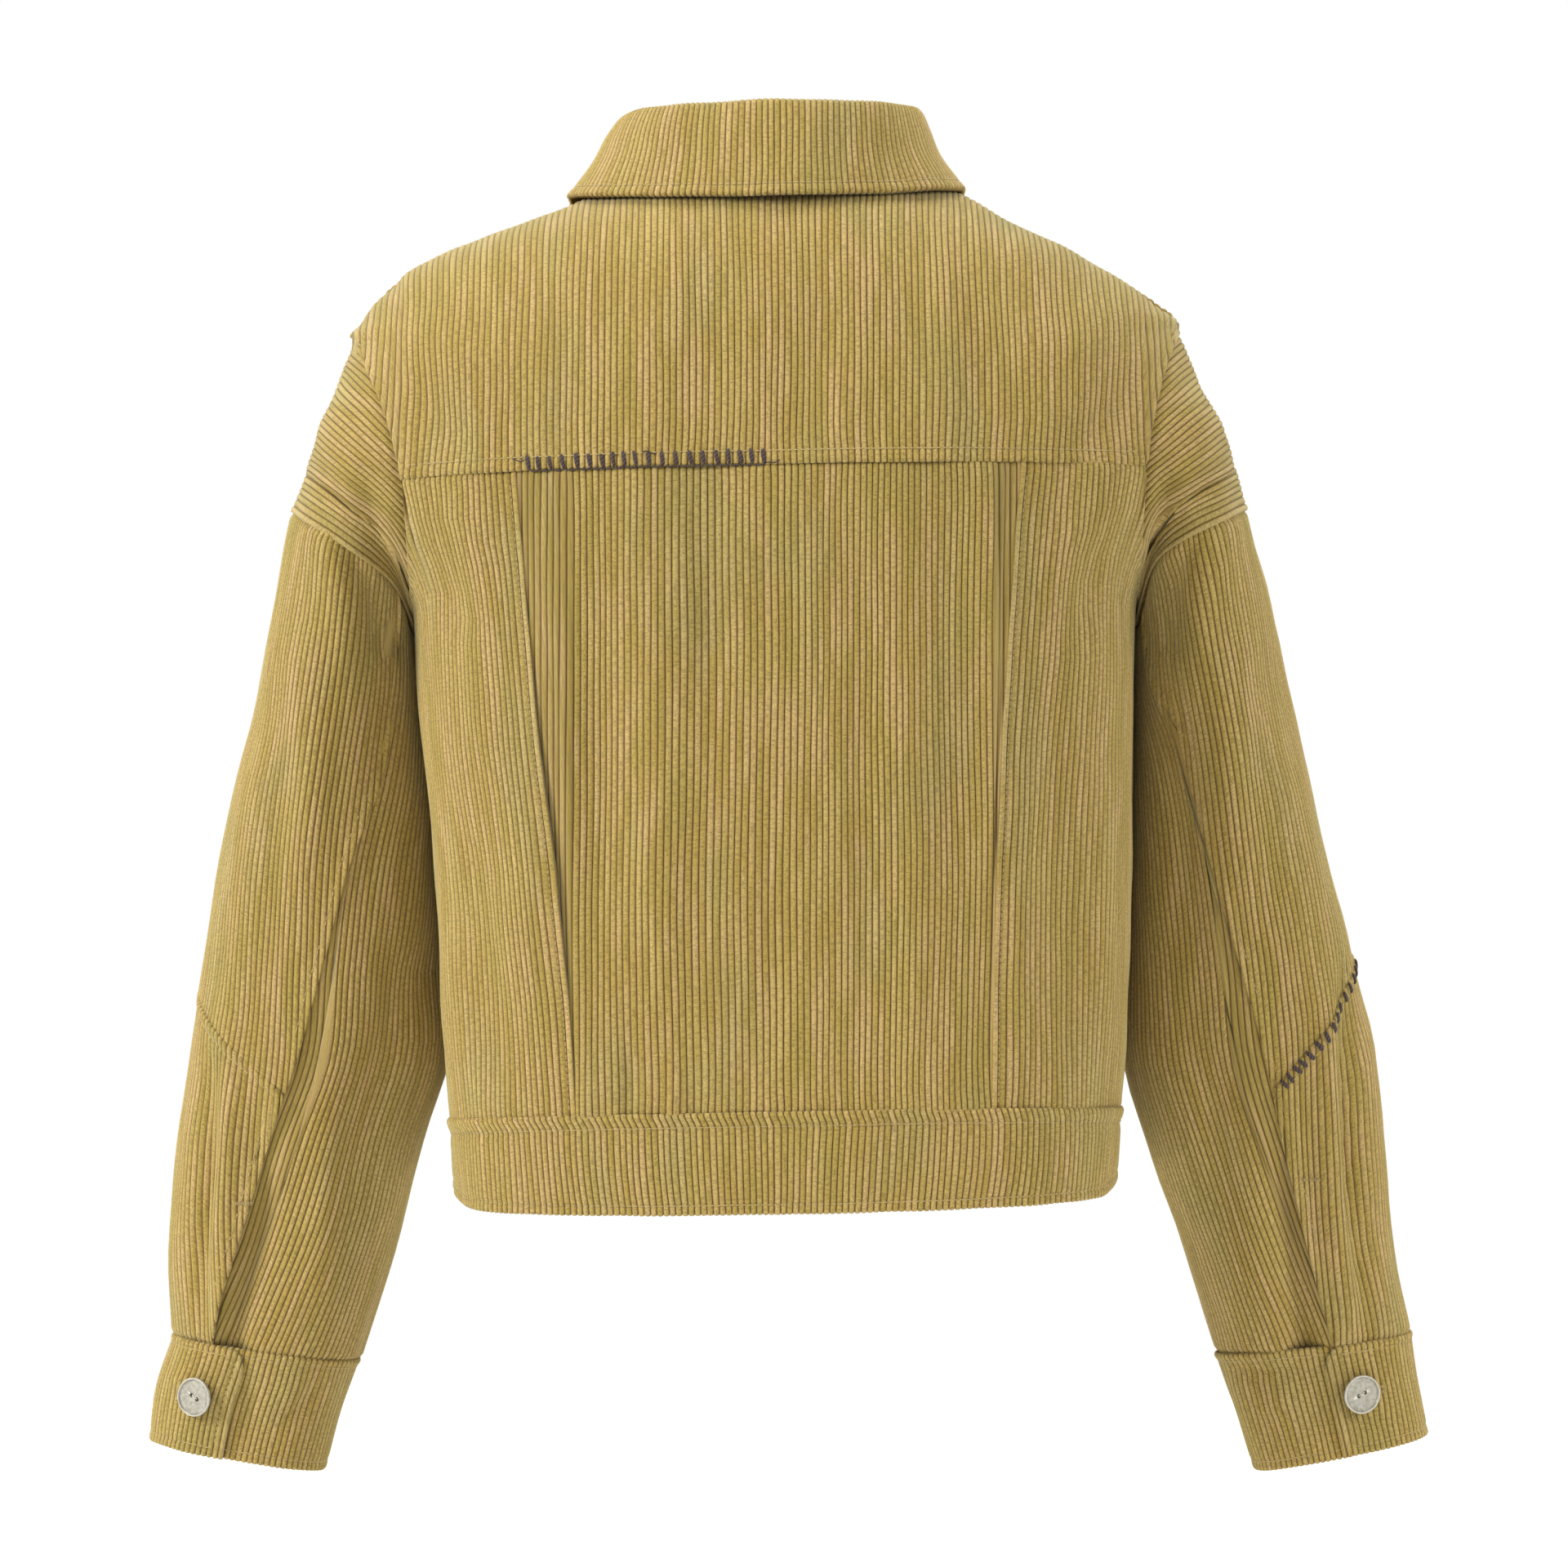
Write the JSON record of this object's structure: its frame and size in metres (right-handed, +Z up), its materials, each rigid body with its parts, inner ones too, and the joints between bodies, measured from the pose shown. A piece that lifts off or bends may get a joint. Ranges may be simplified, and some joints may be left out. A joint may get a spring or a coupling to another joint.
{
  "type": "corduroy jacket",
  "caption": "Cropped corduroy jacket with a turned-down collar, shoulder yoke, dropped sleeves, buttoned front and cuffs and a waistband, filled out as if worn.",
  "frame": {"origin": "middle of the neck opening, level with the shoulder ends of the neck seam, where the wearer's neck and shoulders hold the jacket", "axes": "+Z up along the jacket's length, +X to the wearer's right, +Y to the wearer's front"},
  "size_m": [0.67, 0.2484, 0.7053],
  "materials": {
    "corduroy": "mustard wide-wale cotton corduroy, brushed",
    "buttons": "pewter-coloured cast button, satin",
    "thread": "matching topstitch thread",
    "yarn": "dark brown hand-stitched yarn"
  },
  "bodies": {
    "root": {"back_yoke": "corduroy", "back_centre": "corduroy", "back_side_left": "corduroy", "back_side_right": "corduroy", "front_left": "corduroy", "front_right": "corduroy", "waistband": "corduroy", "collar_fall": "corduroy", "collar_stand": "corduroy", "sleeve_cap_left": "corduroy", "sleeve_outer_upper_left": "corduroy", "sleeve_outer_lower_left": "corduroy", "sleeve_under_left": "corduroy", "cuff_left": "corduroy", "sleeve_cap_right": "corduroy", "sleeve_outer_upper_right": "corduroy", "sleeve_outer_lower_right": "corduroy", "sleeve_under_right": "corduroy", "cuff_right": "corduroy", "cuff_button_left": "buttons", "cuff_button_right": "buttons", "front_button_1": "buttons", "front_button_2": "buttons", "front_button_3": "buttons", "front_button_4": "buttons", "front_button_5": "buttons", "waistband_button": "buttons"}
  },
  "joints": []
}
